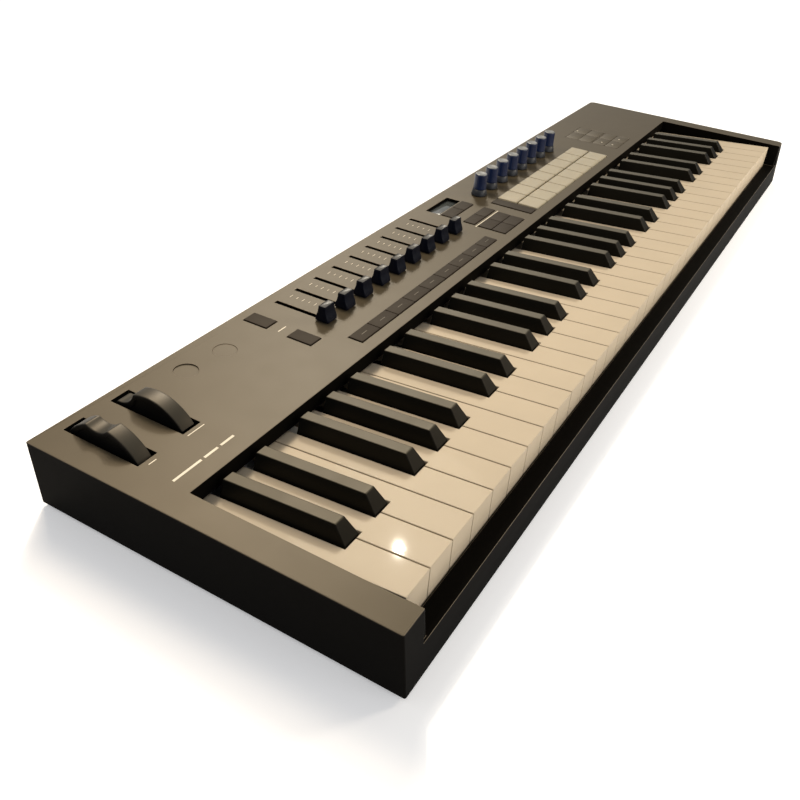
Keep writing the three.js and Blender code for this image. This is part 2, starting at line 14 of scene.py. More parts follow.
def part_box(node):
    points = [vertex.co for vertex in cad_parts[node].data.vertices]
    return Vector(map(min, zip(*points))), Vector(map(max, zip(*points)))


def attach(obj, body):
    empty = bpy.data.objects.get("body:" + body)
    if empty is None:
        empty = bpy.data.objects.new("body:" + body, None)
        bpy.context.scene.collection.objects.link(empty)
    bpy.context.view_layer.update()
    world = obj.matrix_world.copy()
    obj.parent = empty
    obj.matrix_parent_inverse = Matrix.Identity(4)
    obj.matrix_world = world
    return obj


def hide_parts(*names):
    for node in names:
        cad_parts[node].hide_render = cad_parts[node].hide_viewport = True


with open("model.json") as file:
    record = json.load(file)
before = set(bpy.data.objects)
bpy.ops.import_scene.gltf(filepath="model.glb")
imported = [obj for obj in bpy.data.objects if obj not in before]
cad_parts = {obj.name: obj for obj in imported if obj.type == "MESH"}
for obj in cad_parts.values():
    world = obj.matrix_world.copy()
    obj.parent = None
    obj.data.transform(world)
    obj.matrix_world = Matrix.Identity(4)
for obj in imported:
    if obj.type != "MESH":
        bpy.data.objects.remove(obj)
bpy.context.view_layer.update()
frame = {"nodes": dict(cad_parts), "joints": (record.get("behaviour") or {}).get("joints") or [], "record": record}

MM = 0.001
scene = bpy.context.scene


def span(node):
    """The CAD node's box as (x0, x1), (y0, y1), (z0, z1) in millimetres."""
    low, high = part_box(node)
    return tuple((low[axis] / MM, high[axis] / MM) for axis in range(3))


# ---- materials -----------------------------------------------------------------------------

def surface(name, color, roughness, *, mottle=0.12, grain=0.03, grain_size=0.5, specular=0.5, coat=0.0,
            smudge=0.02, metallic=0.0, subsurface=0.0, glow=0.0, tint=None, top=None, above=None):
    """Moulded plastic: cloudy colour, uneven gloss and fine grain in the bump.

    top is a painted sheen on what faces up: (colour, roughness, specular, fade); its lighter colour stands in for
    the light on upward faces, and fade holds the two heights of the normal that it fades in between. above, in
    millimetres, is the height below which it isn't used, so lower upward faces keep the dark colour as painted
    shade.
    """
    material = bpy.data.materials.new(name)
    material.use_nodes = True
    tree = material.node_tree
    nodes, links = tree.nodes, tree.links
    shader = nodes["Principled BSDF"]
    place = nodes.new("ShaderNodeTexCoord")

    def noise(size_mm, detail=3.0):
        node = nodes.new("ShaderNodeTexNoise")
        node.inputs["Scale"].default_value = 1.0 / (size_mm * MM)
        node.inputs["Detail"].default_value = detail
        links.new(place.outputs["Object"], node.inputs["Vector"])
        return node.outputs["Fac"]

    def scaled(source, low, high):
        node = nodes.new("ShaderNodeMapRange")
        node.inputs["From Min"].default_value = 0.3
        node.inputs["From Max"].default_value = 0.7
        node.inputs["To Min"].default_value = low
        node.inputs["To Max"].default_value = high
        links.new(source, node.inputs["Value"])
        return node.outputs["Result"]

    def mixed(factor, first, second):
        node = nodes.new("ShaderNodeMix")
        node.data_type = "RGBA"
        links.new(factor, node.inputs["Factor"])
        for value, socket in ((first, node.inputs["A"]), (second, node.inputs["B"])):
            if isinstance(value, tuple):
                socket.default_value = (*value, 1.0)
            else:
                links.new(value, socket)
        return node.outputs["Result"]

    dark = tuple(c * (1 - mottle) for c in color)
    light = tuple(min(1.0, c * (1 + mottle)) for c in color)
    tone = mixed(scaled(noise(26), 0, 1), dark, light)
    gloss = scaled(noise(17, 5.0), roughness - smudge, roughness + smudge)
    # Painted sheen: upward faces get a lighter colour, standing in for the light that falls on them.
    if top is not None:
        painted_sheen_color, top_roughness, top_specular, fade = top
        facing = nodes.new("ShaderNodeSeparateXYZ")
        geometry = nodes.new("ShaderNodeNewGeometry")
        links.new(geometry.outputs["Normal"], facing.inputs["Vector"])
        rise = nodes.new("ShaderNodeMapRange")
        rise.inputs["From Min"].default_value, rise.inputs["From Max"].default_value = fade
        links.new(facing.outputs["Z"], rise.inputs["Value"])
        faces_up = rise.outputs["Result"]
        # Painted shade: upward faces lower than above keep the darker colour.
        if above is not None:
            level = nodes.new("ShaderNodeSeparateXYZ")
            links.new(place.outputs["Object"], level.inputs["Vector"])
            is_high = nodes.new("ShaderNodeMath")
            is_high.operation = "GREATER_THAN"
            is_high.inputs[1].default_value = above * MM
            links.new(level.outputs["Z"], is_high.inputs[0])
            both = nodes.new("ShaderNodeMath")
            both.operation = "MULTIPLY"
            links.new(faces_up, both.inputs[0])
            links.new(is_high.outputs["Value"], both.inputs[1])
            faces_up = both.outputs["Value"]
        painted_sheen_tone = mixed(scaled(noise(31), 0, 1), tuple(c * (1 - mottle) for c in painted_sheen_color),
                         tuple(c * (1 + mottle) for c in painted_sheen_color))
        tone = mixed(faces_up, tone, painted_sheen_tone)
        shine = nodes.new("ShaderNodeMapRange")
        shine.inputs["To Min"].default_value = specular
        shine.inputs["To Max"].default_value = top_specular
        links.new(faces_up, shine.inputs["Value"])
        links.new(shine.outputs["Result"], shader.inputs["Specular IOR Level"])
        softer = nodes.new("ShaderNodeMapRange")
        softer.inputs["To Min"].default_value = 0.0
        softer.inputs["To Max"].default_value = top_roughness - roughness
        links.new(faces_up, softer.inputs["Value"])
        total = nodes.new("ShaderNodeMath")
        links.new(gloss, total.inputs[0])
        links.new(softer.outputs["Result"], total.inputs[1])
        gloss = total.outputs["Value"]
    links.new(tone, shader.inputs["Base Color"])
    links.new(gloss, shader.inputs["Roughness"])
    if top is None:
        shader.inputs["Specular IOR Level"].default_value = specular
    if tint is not None:
        shader.inputs["Specular Tint"].default_value = (*tint, 1.0)
    if glow:
        shader.inputs["Emission Color"].default_value = (*color, 1.0)
        shader.inputs["Emission Strength"].default_value = glow
    shader.inputs["Metallic"].default_value = metallic
    shader.inputs["Coat Weight"].default_value = coat
    shader.inputs["Coat Roughness"].default_value = 0.05
    if subsurface:
        shader.inputs["Subsurface Weight"].default_value = subsurface
        shader.inputs["Subsurface Radius"].default_value = (1.0, 0.8, 0.5)
        shader.inputs["Subsurface Scale"].default_value = 2 * MM
    bump = nodes.new("ShaderNodeBump")
    bump.inputs["Strength"].default_value = 1.0
    bump.inputs["Distance"].default_value = grain * MM
    links.new(noise(grain_size, 2.0), bump.inputs["Height"])
    links.new(bump.outputs["Normal"], shader.inputs["Normal"])
    return material


CASE_SIDE = (0.0025, 0.0022, 0.0018)
# The panel's upward faces get this brown as a painted sheen; the plastic itself is near black like CASE_SIDE.
CASE_TOP_SHEEN = (0.055, 0.044, 0.027)
WARM = (1.0, 0.84, 0.62)

look = {
    # Case: the brown top is a painted sheen, and above=40 keeps the ledge and lower upward faces dark as painted
    # shade.
    "case": surface("case", CASE_SIDE, 0.62, mottle=0.03, grain=0.008, grain_size=0.6, specular=0.02,
                    tint=WARM, smudge=0.01, top=(CASE_TOP_SHEEN, 0.44, 0.20, (0.6, 0.95)), above=40),
    # Rim bevels: the lighter colour on their upward faces is a painted highlight along the edges.
    "case_edge": surface("case_edge", CASE_SIDE, 0.5, mottle=0.03, grain=0.002, specular=0.1, tint=WARM,
                         top=((0.10, 0.08, 0.055), 0.40, 0.4, (0.30, 0.75))),
    "natural_key": surface("natural_key", (0.435, 0.365, 0.270), 0.45, mottle=0.02, grain=0.001, grain_size=6,
                           specular=0.04, coat=0.02, smudge=0.02, subsurface=0.03),
    # Sharps: the lighter brown top is a painted sheen; the sides keep the near-black plastic colour.
    "sharp_key": surface("sharp_key", (0.005, 0.005, 0.004), 0.40, grain=0.006, specular=0.1, tint=WARM,
                         top=((0.034, 0.031, 0.020), 0.48, 0.28, (0.7, 0.95))),
    # Fader caps: the lighter top is a painted reflection on the black cap.
    "fader_cap": surface("fader_cap", (0.003, 0.004, 0.009), 0.34, grain=0.006, specular=0.12,
                         top=((0.030, 0.028, 0.024), 0.4, 0.3, (0.85, 0.97))),
    # Knobs: the pale top and upper shoulder are a painted reflection on the navy knob.
    "knob": surface("knob", (0.004, 0.011, 0.044), 0.34, grain=0.008, specular=0.3, coat=0.08,
                    top=((0.12, 0.125, 0.125), 0.35, 0.5, (0.45, 0.75))),
    "skirt": surface("skirt", (0.014, 0.016, 0.021), 0.45, grain=0.01, specular=0.3),
    # Wheels: the lighter colour where the rim faces up is a painted sheen.
    "wheel": surface("wheel", (0.004, 0.004, 0.004), 0.48, grain=0.012, grain_size=0.35, specular=0.12,
                     tint=WARM, top=((0.026, 0.024, 0.019), 0.45, 0.25, (0.3, 0.9))),
    "button": surface("button", (0.023, 0.018, 0.0135), 0.6, grain=0.01, mottle=0.04, specular=0.10,
                      tint=WARM),
    # Transport caps take the panel's painted sheen colour.
    "panel_button": surface("panel_button", CASE_TOP_SHEEN, 0.44, grain=0.008, mottle=0.03, specular=0.20,
                            tint=WARM),
    "pad": surface("pad", (0.265, 0.230, 0.160), 0.6, mottle=0.04, grain=0.02, grain_size=0.5,
                   subsurface=0.3),
    "display_glass": surface("display_glass", (0.065, 0.072, 0.072), 0.10, mottle=0.15, grain=0.0005,
                             grain_size=5, coat=1.0, smudge=0.03),
    "bezel": surface("bezel", (0.006, 0.006, 0.006), 0.4, specular=0.2),
    "felt": surface("felt", (0.006, 0.006, 0.006), 0.9, grain=0.06, grain_size=0.4, specular=0.05),
    "steel": surface("steel", (0.42, 0.43, 0.44), 0.33, metallic=1.0, grain=0.004, grain_size=0.2),
    "circuit_board": surface("circuit_board", (0.02, 0.10, 0.05), 0.4, grain=0.01, grain_size=2),
    "rubber": surface("rubber", (0.012, 0.012, 0.012), 0.8, grain=0.05, grain_size=0.8),
    "inner_plastic": surface("inner_plastic", (0.03, 0.03, 0.03), 0.55, grain=0.02),
    "print": surface("print", (0.55, 0.49, 0.37), 0.5, mottle=0.1, grain=0.003),
    "dim_print": surface("dim_print", (0.13, 0.115, 0.09), 0.6, mottle=0.1, grain=0.003, specular=0.1),
    "faint_print": surface("faint_print", (0.48, 0.42, 0.31), 0.5, mottle=0.1, grain=0.003),
}

slot_of = {entry["node"]: entry["material_slot"] for entry in frame["record"]["subparts"]}
for node_name, node in frame["nodes"].items():
    node.data.materials.clear()
    node.data.materials.append(look[slot_of[node_name]])


# ---- mesh helpers --------------------------------------------------------------------------

def finish_piece(name, mesh_bm, material, body, replaces=(), sharp_angle=40):
    """Turns a bmesh in millimetres into a shaded piece that rides on its body."""
    bmesh.ops.recalc_face_normals(mesh_bm, faces=mesh_bm.faces)
    bmesh.ops.scale(mesh_bm, vec=(MM, MM, MM), verts=mesh_bm.verts)
    mesh = bpy.data.meshes.new(name)
    mesh_bm.to_mesh(mesh)
    mesh_bm.free()
    mesh.materials.append(look[material])
    mesh.polygons.foreach_set("use_smooth", [True] * len(mesh.polygons))
    mesh.set_sharp_from_angle(angle=math.radians(sharp_angle))
    piece = bpy.data.objects.new(name, mesh)
    scene.collection.objects.link(piece)
    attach(piece, body)
    if replaces:
        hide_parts(*replaces)
    return piece


def add_bevel(piece, width_mm, segments, limit="WEIGHT", edge_material=-1):
    bevel = piece.modifiers.new("edge_rounding", "BEVEL")
    bevel.material = edge_material
    bevel.width = width_mm * MM
    bevel.segments = segments
    bevel.limit_method = limit
    bevel.angle_limit = math.radians(30)
    bevel.use_clamp_overlap = limit != "WEIGHT"
    normals = piece.modifiers.new("flat_faces", "WEIGHTED_NORMAL")
    normals.keep_sharp = True


def weights(mesh_bm):
    return mesh_bm.edges.layers.float.new("bevel_weight_edge")


def height(value, y):
    return value(y) if callable(value) else value


def prism(outline, floor, roof):
    """An upright block over an outline; floor and roof are heights or functions of y."""
    mesh_bm = bmesh.new()
    lower = [mesh_bm.verts.new((x, y, height(floor, y))) for x, y in outline]
    upper = [mesh_bm.verts.new((x, y, height(roof, y))) for x, y in outline]
    count = len(outline)
    for i in range(count):
        j = (i + 1) % count
        mesh_bm.faces.new((lower[i], lower[j], upper[j], upper[i]))
    mesh_bm.faces.new(upper)
    mesh_bm.faces.new(lower[::-1])
    return mesh_bm, lower, upper


def ring_loft(mesh_bm, rings, cap_ends=True):
    """Joins rings with equal point counts into one skin."""
    loops = [[mesh_bm.verts.new(point) for point in ring] for ring in rings]
    for first, second in zip(loops, loops[1:]):
        for i in range(len(first)):
            j = (i + 1) % len(first)
            mesh_bm.faces.new((first[i], first[j], second[j], second[i]))
    if cap_ends:
        mesh_bm.faces.new(loops[0][::-1])
        mesh_bm.faces.new(loops[-1])
    return loops


def rounded_rectangle(x, y, z, half_x, half_y, radius, steps=4):
    points = []
    for quarter, (sign_x, sign_y) in enumerate(((1, 1), (-1, 1), (-1, -1), (1, -1))):
        for step in range(steps + 1):
            angle = math.radians(90 * (quarter + step / steps))
            points.append((x + sign_x * (half_x - radius) + radius * math.cos(angle),
                           y + sign_y * (half_y - radius) + radius * math.sin(angle), z))
    return points


def soft_block(mesh_bm, x, y, z, corner=0.8, edge=0.5, crown=0.0, steps=3):
    """A block with round upright corners, a rounded rim and, if asked, a slightly crowned or dished top."""
    mid_x, mid_y = sum(x) / 2, sum(y) / 2
    half_x, half_y = (x[1] - x[0]) / 2, (y[1] - y[0]) / 2
    rings = [rounded_rectangle(mid_x, mid_y, z[0], half_x, half_y, corner)]
    for step in range(steps + 1):
        angle = math.pi / 2 * step / steps
        inset = edge * (1 - math.cos(angle))
        rings.append(rounded_rectangle(mid_x, mid_y, z[1] - edge + edge * math.sin(angle),
                                       half_x - inset, half_y - inset, max(corner - inset, 0.05)))
    if crown:
        for share in (0.75, 0.4):
            rings.append(rounded_rectangle(mid_x, mid_y, z[1] + crown * (1 - share ** 2),
                                           (half_x - edge) * share, (half_y - edge) * share,
                                           max(corner - edge, 0.05) * share + 0.02))
    ring_loft(mesh_bm, rings)


def lathe(mesh_bm, x, y, outline, sides=48):
    """Spins (radius, z) points about an upright axis; both ends are closed."""
    rings = []
    for radius, z in outline:
        rings.append([(x + radius * math.cos(2 * math.pi * i / sides),
                       y + radius * math.sin(2 * math.pi * i / sides), z) for i in range(sides)])
    ring_loft(mesh_bm, rings)


def bars(mesh_bm, rectangles, z, thickness=0.06):
    """Thin printed bars: each (x0, x1, y0, y1), lying on height z."""
    for x0, x1, y0, y1 in rectangles:
        corners = [(x0, y0), (x1, y0), (x1, y1), (x0, y1)]
        ring_loft(mesh_bm, [[(x, y, z) for x, y in corners], [(x, y, z + thickness) for x, y in corners]])


# ---- case ----------------------------------------------------------------------------------

case_x, _, case_z = span("top_case")
panel_z = case_z[1]
PANEL_UNDERSIDE = 45.0
OUTER_Y = 121.0          # about how far the front and the rear lie from the middle
RIM_LEVEL = 40.0
LOWEST_ROUNDED = 22.0


def case_shell():
    """The CAD shell with its triangles joined into flat faces and its upper edges rounded."""
    mesh_bm = bmesh.new()
    mesh_bm.from_mesh(frame["nodes"]["top_case"].data)
    bmesh.ops.scale(mesh_bm, vec=(1 / MM,) * 3, verts=mesh_bm.verts)
    bmesh.ops.remove_doubles(mesh_bm, verts=mesh_bm.verts, dist=0.002)
    bmesh.ops.dissolve_limit(mesh_bm, angle_limit=math.radians(1), verts=mesh_bm.verts, edges=mesh_bm.edges)
    layer = weights(mesh_bm)
    for edge in mesh_bm.edges:
        if len(edge.link_faces) != 2 or edge.calc_face_angle() < math.radians(35):
            continue
        a, b = (vert.co for vert in edge.verts)
        if min(a.z, b.z) < LOWEST_ROUNDED or all(abs(p.z - PANEL_UNDERSIDE) < 0.1 for p in (a, b)):
            continue
        is_outer = all(abs(abs(p.x) - case_x[1]) < 6 or abs(abs(p.y) - OUTER_Y) < 5 for p in (a, b))
        on_rim = is_outer and min(a.z, b.z) > RIM_LEVEL
        edge[layer] = 1.0 if on_rim else 0.5
    shell = finish_piece("case_shell", mesh_bm, "case", "case", ["top_case"], sharp_angle=30)
    # The bevel faces take case_edge, whose lighter upward faces paint a highlight along the rounded rims.
    shell.data.materials.append(look["case_edge"])
    add_bevel(shell, 0.5, 3, edge_material=1)


case_shell()

plate = frame["nodes"]["bottom_plate"]
add_bevel(plate, 0.5, 2, limit="ANGLE")


def feet_and_screws():
    for end in ("front", "rear"):
        for side in ("left", "right"):
            node_name = f"rubber_foot_{end}_{side}"
            x, y, z = span(node_name)
            radius = (x[1] - x[0]) / 2
            mesh_bm = bmesh.new()
            lathe(mesh_bm, sum(x) / 2, sum(y) / 2, [
                (0.4, z[0] + 0.6), (radius - 3.4, z[0] + 0.6), (radius - 2.6, z[0] + 0.1),
                (radius - 1.2, z[0]), (radius - 0.6, z[0] + 0.3), (radius - 0.1, z[1] - 0.2),
                (radius, z[1]), (0.4, z[1]),
            ], sides=36)
            finish_piece(f"foot_{end}_{side}", mesh_bm, "rubber", "case", [node_name])
    _, plate_y, plate_z = span("bottom_plate")
    for row, y in (("front", plate_y[0] + 8), ("rear", plate_y[1] - 8)):
        for index in range(6):
            x = case_x[0] + 60 + index * (case_x[1] - case_x[0] - 120) / 5
            mesh_bm = bmesh.new()
            lathe(mesh_bm, x, y, [
                (0.9, plate_z[0] - 0.2), (1.2, plate_z[0] - 0.8), (2.3, plate_z[0] - 0.9),
                (2.9, plate_z[0] - 0.5), (3.0, plate_z[0]), (0.9, plate_z[0]),
            ], sides=20)
            finish_piece(f"bottom_screw_{row}_{index + 1}", mesh_bm, "steel", "case")


feet_and_screws()


# ---- keys ----------------------------------------------------------------------------------

KEY_GAP = 0.4
SHARP_CENTRES = (21.15, 49.35, 90.64, 117.5, 144.36)
SHARP_BASE, SHARP_TOP, SHARP_HEIGHT = 12.6, 8.2, 10.0
SHARP_CLEARANCE = 1.3    # between a sharp's side and the tail of a natural beside it
KEY_SLOPE = 0.075
KEY_DEPTH = 8            # of a key's body behind its head
TAIL_END = 30.0

low_c = span("naturals_cegb_1")
high_c = span("natural_c_high")
keys_left = low_c[0][0] - KEY_GAP
key_pitch = (high_c[0][1] + KEY_GAP - keys_left) / 36
key_front, key_front_top, key_bottom = high_c[1][0], high_c[2][1], high_c[2][0]
HEAD_LENGTH = 42.8
head_rear = key_front + HEAD_LENGTH


def key_top(y):
    return key_front_top - KEY_SLOPE * (y - key_front)


def natural_key(name, index, body, replaces):
    """A natural key with a rounded front lip, eased edges and a tail cut to clear its sharps."""
    octave_x = keys_left + key_pitch * 7 * (index // 7)
    left, right = (keys_left + key_pitch * i for i in (index, index + 1))
    left += KEY_GAP
    right -= KEY_GAP
    middle = (left + right) / 2
    sharps = [octave_x + c for c in SHARP_CENTRES] if index < 35 else []
    reach = SHARP_BASE / 2 + SHARP_CLEARANCE
    tail_left = max([left] + [x + reach for x in sharps if x < middle])
    tail_right = min([right] + [x - reach for x in sharps if x > middle])
    outline = [(left, key_front), (right, key_front)]
    if tail_right < right:
        outline += [(right, head_rear), (tail_right, head_rear)]
    outline += [(tail_right, TAIL_END), (tail_left, TAIL_END)]
    if tail_left > left:
        outline += [(tail_left, head_rear), (left, head_rear)]

    def floor(y):
        return key_bottom if y < head_rear - 0.1 else key_top(y) - KEY_DEPTH

    mesh_bm, lower, upper = prism(outline, floor, key_top)
    layer = weights(mesh_bm)
    for edge in mesh_bm.edges:
        on_top = edge.verts[0] in upper and edge.verts[1] in upper
        at_front = all(abs(v.co.y - key_front) < 0.01 for v in edge.verts)
        upright = (edge.verts[0] in upper) != (edge.verts[1] in upper)
        if on_top:
            edge[layer] = 1.0 if at_front else 0.8
        elif upright:
            edge[layer] = 0.4
        elif at_front:
            edge[layer] = 0.6
    piece = finish_piece(name, mesh_bm, "natural_key", body, replaces, sharp_angle=30)
    add_bevel(piece, 0.5, 3)


def sharp_key(name, centre, body, replaces):
    """A sharp: narrow rounded top, leaning sides and a sloped front over a straight base."""
    base, top = SHARP_BASE / 2, SHARP_TOP / 2
    front, front_top, rear = -65.2, -57.6, 14.8
    stations = ((front, front_top), (rear + 0.6, rear))  # y at the foot, y at the top
    mesh_bm = bmesh.new()
    feet, shoulders, roofs = [], [], []
    for foot_y, roof_y in stations:
        for side in (-1, 1):
            feet.append(mesh_bm.verts.new((centre + side * base, foot_y, key_top(foot_y) - KEY_DEPTH)))
            shoulders.append(mesh_bm.verts.new((centre + side * base, foot_y, key_top(foot_y) + 0.2)))
            roofs.append(mesh_bm.verts.new((centre + side * top, roof_y, key_top(roof_y) + SHARP_HEIGHT)))
    for low, high in ((feet, shoulders), (shoulders, roofs)):
        for a, b in ((0, 1), (1, 3), (3, 2), (2, 0)):
            mesh_bm.faces.new((low[a], low[b], high[b], high[a]))
    mesh_bm.faces.new((roofs[0], roofs[1], roofs[3], roofs[2]))
    mesh_bm.faces.new((feet[0], feet[2], feet[3], feet[1]))
    layer = weights(mesh_bm)
    for edge in mesh_bm.edges:
        a, b = edge.verts
        if a in roofs and b in roofs:
            edge[layer] = 1.0
        elif {a in roofs, b in roofs} == {True, False}:
            edge[layer] = 0.9
    piece = finish_piece(name, mesh_bm, "sharp_key", body, replaces, sharp_angle=30)
    add_bevel(piece, 0.6, 3)


NATURALS = "cdefgab"
SHARPS = ("c_sharp", "d_sharp", "f_sharp", "g_sharp", "a_sharp")


def all_keys():
    for octave in range(5):
        number = octave + 1
        combs = {"cegb": f"naturals_cegb_{number}", "dfa": f"naturals_dfa_{number}"}
        for step, letter in enumerate(NATURALS):
            group = "cegb" if letter in "cegb" else "dfa"
            stands_for = [combs[group]] if letter == group[0] else []
            natural_key(f"key_{letter}{number}", octave * 7 + step, combs[group], stands_for)
        for step, letter in enumerate(SHARPS):
            centre = keys_left + octave * 7 * key_pitch + SHARP_CENTRES[step]
            body = f"sharps_{number}"
            sharp_key(f"key_{letter}{number}", centre, body, [body] if step == 0 else [])
    natural_key("key_c6", 35, "natural_c_high", ["natural_c_high"])


all_keys()


# ---- faders and knobs ----------------------------------------------------------------------

def fader_cap(number):
    """A waisted cap: wide foot, hollowed front and rear, dished top with a raised rim, on its stem."""
    node_name = f"fader_cap_{number}"
    x, y, z = span(node_name)
    mid_x, mid_y = sum(x) / 2, sum(y) / 2
    foot_z = panel_z + 0.6
    rise = z[1] - foot_z
    half_x, half_y = (x[1] - x[0]) / 2, (y[1] - y[0]) / 2
    profile = [  # share of the height, half width, half depth, corner radius
        (0.00, half_x - 0.5, half_y - 0.5, 1.2), (0.04, half_x - 0.1, half_y - 0.1, 1.4),
        (0.10, half_x, half_y, 1.4), (0.24, half_x, half_y - 0.3, 1.2),
        (0.38, half_x, half_y - 1.1, 0.9), (0.55, half_x - 0.1, half_y - 2.0, 0.7),
        (0.75, half_x - 0.1, half_y - 2.6, 0.5), (0.93, half_x - 0.2, half_y - 2.85, 0.5),
        (0.98, half_x - 0.25, half_y - 2.9, 0.45), (1.00, half_x - 0.5, half_y - 3.15, 0.35),
    ]
    mesh_bm = bmesh.new()
    rings = [rounded_rectangle(mid_x, mid_y, foot_z + share * rise, wide, deep, corner)
             for share, wide, deep, corner in profile]
    rings.append(rounded_rectangle(mid_x, mid_y, z[1] - 0.3, half_x - 1.1, half_y - 3.7, 0.3))
    ring_loft(mesh_bm, rings)
    ring_loft(mesh_bm, [rounded_rectangle(mid_x, mid_y, level, 0.6, 2, 0.2) for level in (z[0], foot_z + 1)])
    finish_piece(f"fader_{number}", mesh_bm, "fader_cap", node_name, [node_name], sharp_angle=40)


def dust_lips(number):
    """Two black felt strips below a fader's slot, with a slit between them for the stem."""
    x, y, _ = span(f"fader_cap_{number}")
    mid_x = sum(x) / 2
    front = sum(y) / 2 - 8
    rear = front + 56
    mesh_bm = bmesh.new()
    for side in (-1, 1):
        near, far = sorted((mid_x + side * 0.75, mid_x + side * 3.6))
        corners = [(near, front), (far, front), (far, rear), (near, rear)]
        ring_loft(mesh_bm, [[(px, py, level) for px, py in corners] for level in (44.5, 44.9)])
    finish_piece(f"fader_felt_{number}", mesh_bm, "felt", "case")


def knob(number):
    """A slim knob: flared collar, straight sides with fine flutes and a softly rounded, dished top."""
    node_name = f"knob_{number}"
    x, y, z = span(node_name)
    mid_x, mid_y = sum(x) / 2, sum(y) / 2
    bottom, top, radius = panel_z + 0.6, z[1], 6.0
    collar = (x[1] - x[0]) / 2
    mesh_bm = bmesh.new()
    lathe(mesh_bm, mid_x, mid_y, [
        (3.0, bottom - 4), (3.0, bottom), (collar - 0.4, bottom), (collar, bottom + 0.4),
        (collar - 0.2, bottom + 1.8), (radius + 0.4, bottom + 5.4), (radius - 0.5, bottom + 6.0),
        (3.0, bottom + 6.0),
    ])
    finish_piece(f"knob_skirt_{number}", mesh_bm, "skirt", node_name, sharp_angle=50)
    mesh_bm = bmesh.new()
    sides = 72
    profile = [  # radius, height, depth of the flutes
        (radius - 1.0, bottom + 5.9, 0), (radius, bottom + 6.1, 0), (radius, bottom + 7.4, 0),
        (radius - 0.05, bottom + 8, 0.14), (radius - 0.2, top - 1.8, 0.14), (radius - 0.25, top - 1.2, 0),
        (radius - 0.45, top - 0.5, 0), (radius - 0.9, top - 0.1, 0), (radius - 1.4, top, 0),
        (radius - 2.4, top - 0.15, 0), (1.0, top - 0.3, 0),
    ]
    rings = []
    for radius_at, level, flute in profile:
        ring = []
        for i in range(sides):
            angle = 2 * math.pi * i / sides
            r = radius_at - (flute if i % 3 == 0 else 0)
            ring.append((mid_x + r * math.cos(angle), mid_y + r * math.sin(angle), level))
        rings.append(ring)
    ring_loft(mesh_bm, rings)
    finish_piece(f"knob_grip_{number}", mesh_bm, "knob", node_name, [node_name], sharp_angle=50)


for number in range(1, 10):
    fader_cap(number)
    dust_lips(number)
for number in range(1, 9):
    knob(number)


# ---- wheels --------------------------------------------------------------------------------

def thumb_wheel(name, turn, notch_turn):
    """A half wheel with a rim band, a recessed web and a round finger notch, turned about its axle."""
    joint = next(j for j in frame["joints"] if j["child"] == name)
    centre_y, centre_z = joint["pos_m"][1] / MM, joint["pos_m"][2] / MM
    x, _, _ = span(name)
    rim, notch_radius, notch_centre = 32.0, 13.0, 41.0

    def radius_at(degrees):
        """The rim's radius, dipping where the notch's circle cuts it, with softly rounded lips."""
        angle = math.radians(degrees - notch_turn)
        reach = notch_radius ** 2 - (notch_centre * math.sin(angle)) ** 2
        if reach <= 0 or abs(angle) > 1:
            return rim
        dip = notch_centre * math.cos(angle) - math.sqrt(reach)
        ease = 0.7
        blend = max(ease - abs(rim - dip), 0) / ease
        return min(rim, dip) - ease * blend * blend / 4

    def outline(inset, at_x):
        points = []
        for step in range(-66, 67):
            degrees = step * 4 / 3
            r = radius_at(degrees) - inset
            angle = math.radians(degrees - turn)
            points.append((at_x, centre_y + r * math.sin(angle), centre_z + r * math.cos(angle)))
        return points

    ease = ((0.9, 0.0), (0.35, 0.12), (0.08, 0.42), (0.0, 0.95))
    web, band = 0.9, 3.2
    left = [(band + 0.3, web), (band, 0.15)] + list(ease)
    rings = [outline(inset, x[0] + depth) for inset, depth in left]
    rings += [outline(inset, x[1] - depth) for inset, depth in reversed(left)]
    mesh_bm = bmesh.new()
    ring_loft(mesh_bm, rings)
    finish_piece(name + "_grip", mesh_bm, "wheel", name, [name], sharp_angle=50)


thumb_wheel("pitch_wheel", 0, 6)
thumb_wheel("mod_wheel", -35, 0)


# ---- buttons, pads and display ---------------------------------------------------------------

def button_caps(node_name, columns, rows, material="button", sink=0.0, edge=0.35):
    """Caps of one button block, one piece each, parted by fine gaps."""
    x, y, z = span(node_name)
    flange = 0.8
    y = (y[0] + flange, y[1] - flange)
    edges_x = [x[0]] + columns + [x[1]]
    edges_y = [y[0]] + rows + [y[1]]
    part = 0.25
    first = True
    for column, (x0, x1) in enumerate(zip(edges_x, edges_x[1:])):
        for row, (y0, y1) in enumerate(zip(edges_y, edges_y[1:])):
            mesh_bm = bmesh.new()
            low_x = x0 + (part if column else 0)
            high_x = x1 - (part if column < len(columns) else 0)
            low_y = y0 + (part if row else 0)
            high_y = y1 - (part if row < len(rows) else 0)
            soft_block(mesh_bm, (low_x, high_x), (low_y, high_y), (z[0], z[1] - sink),
                       corner=2 * edge, edge=edge)
            name = f"{node_name}_cap_{column + 1}_{row + 1}"
            finish_piece(name, mesh_bm, material, node_name, [node_name] if first else [])
            first = False


fader_x = [sum(span(f"fader_cap_{number}")[0]) / 2 for number in range(1, 10)]
control_pitch = fader_x[1] - fader_x[0]
button_caps("button_left_rear", [], [])
button_caps("button_left_front", [], [])
button_caps("track_button_strip", [x + control_pitch / 2 for x in fader_x[:-1]], [])
button_caps("display_buttons", [6.4], [])
button_caps("page_buttons", [5.0], [])
button_caps("mode_buttons", [3.7], [42.7])
button_caps("scene_button", [], [])
button_caps("transport_buttons_rear", [304.0], [76.0], "panel_button", sink=0.8, edge=0.12)
button_caps("transport_buttons_front", [304.0], [44.5], "panel_button", sink=0.8, edge=0.12)


